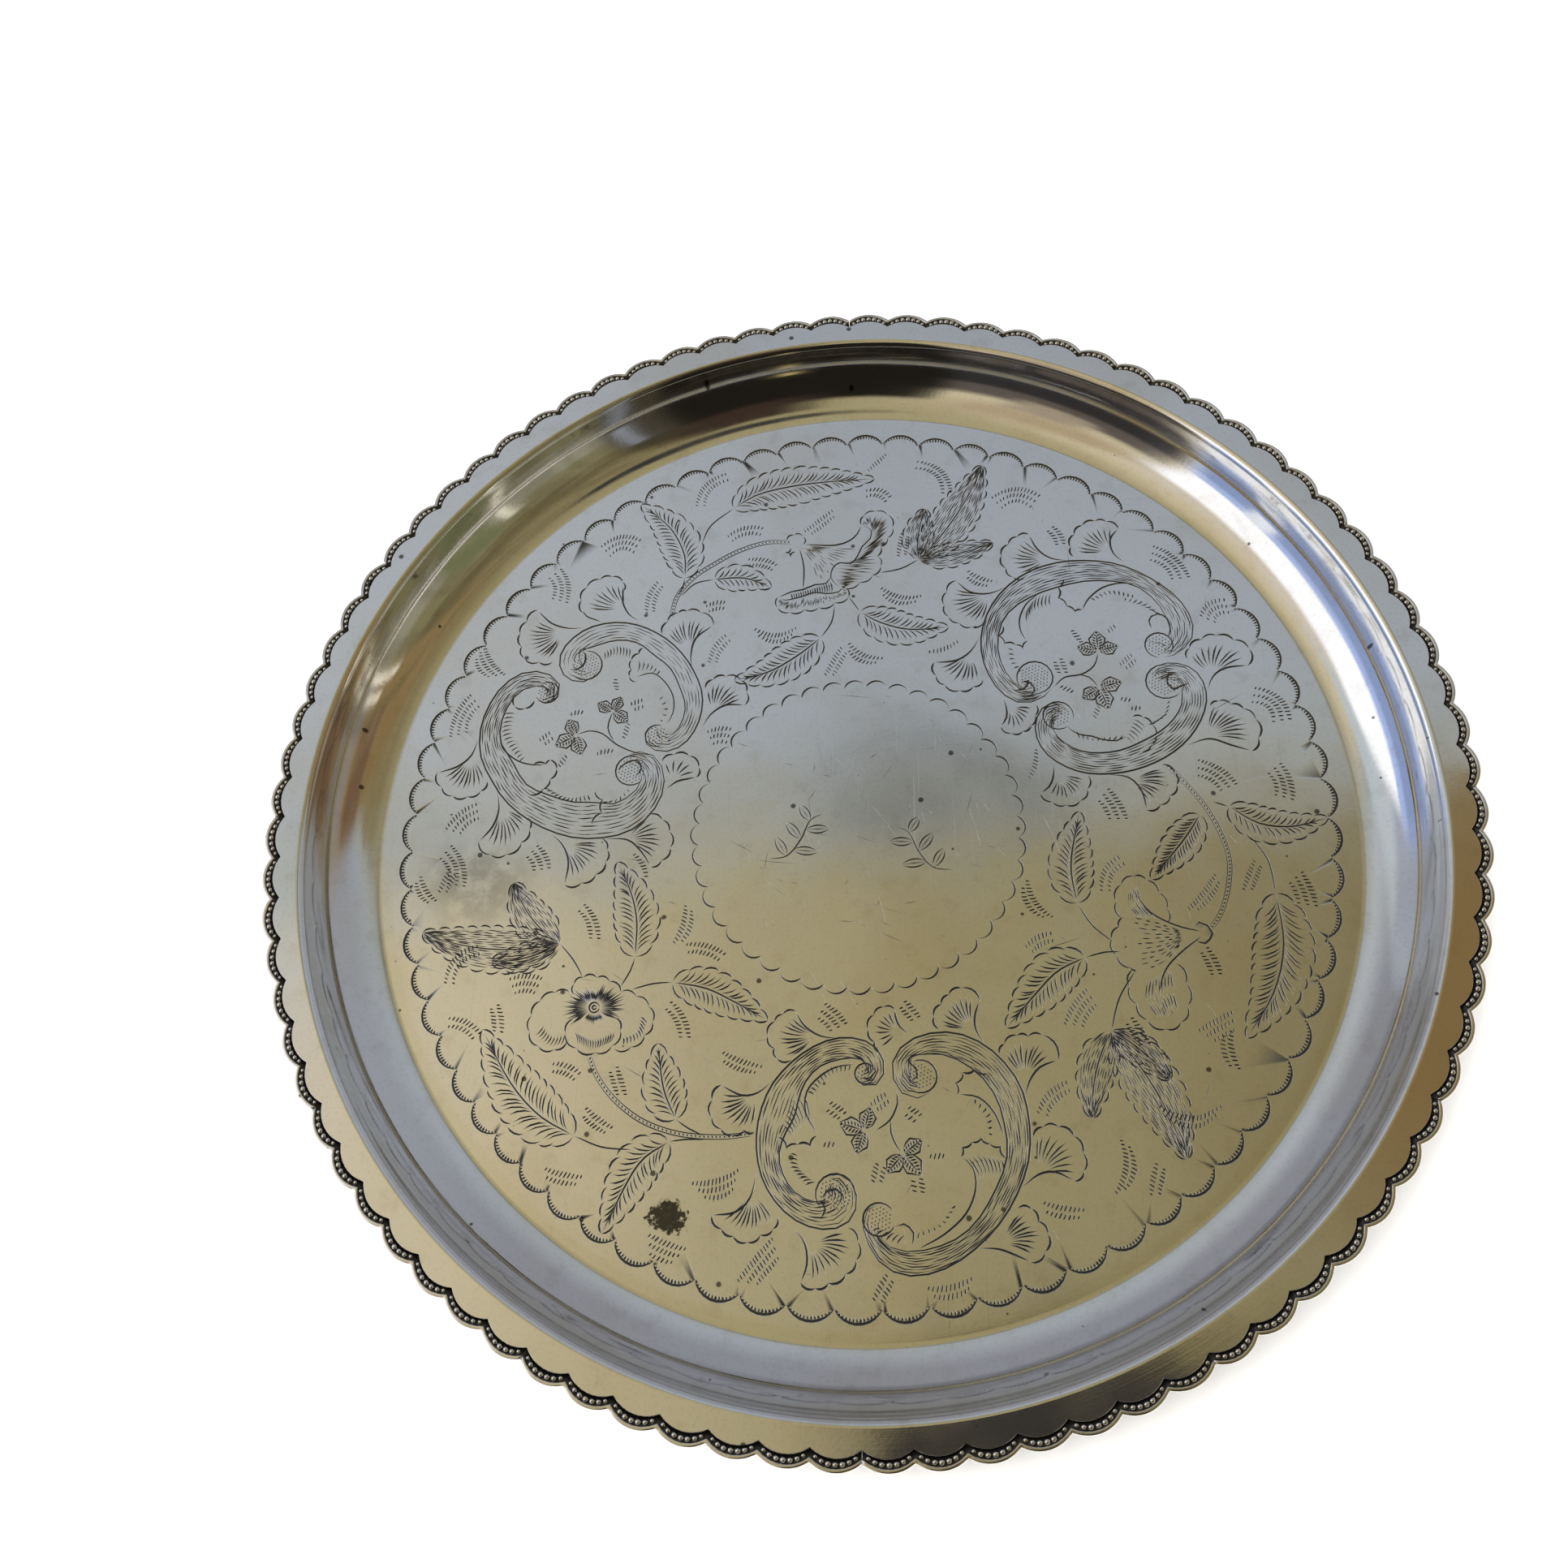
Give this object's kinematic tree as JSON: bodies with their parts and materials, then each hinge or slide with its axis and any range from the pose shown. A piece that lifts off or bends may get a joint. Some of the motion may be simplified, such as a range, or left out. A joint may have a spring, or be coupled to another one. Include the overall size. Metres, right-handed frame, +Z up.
{
  "type": "silver salver",
  "caption": "Round silver salver: flat engraved well, deep coved wall, tight shoulder and a narrow flange with a scalloped, beaded border.",
  "frame": {"origin": "middle of the flat underside, on the surface that the salver stands on", "axes": "+Z up, out of the well; +X passes through a seam between two lengths of border; -Y is the side nearest the viewer, where the lower engraved cartouche lies"},
  "size_m": [0.3048, 0.3048, 0.0173],
  "materials": {
    "dish_silver": "worn polished silver with yellowed tarnish and fine scratches",
    "border_silver": "struck silver, bright on the beads and lip and blackened in the hollows"
  },
  "bodies": {
    "root": {"body": "dish_silver", "border_length_01": "border_silver", "border_length_02": "border_silver", "border_length_03": "border_silver", "border_length_04": "border_silver", "border_length_05": "border_silver", "border_length_06": "border_silver", "border_length_07": "border_silver", "border_length_08": "border_silver", "border_length_09": "border_silver", "border_length_10": "border_silver", "border_length_11": "border_silver", "border_length_12": "border_silver"}
  },
  "joints": []
}
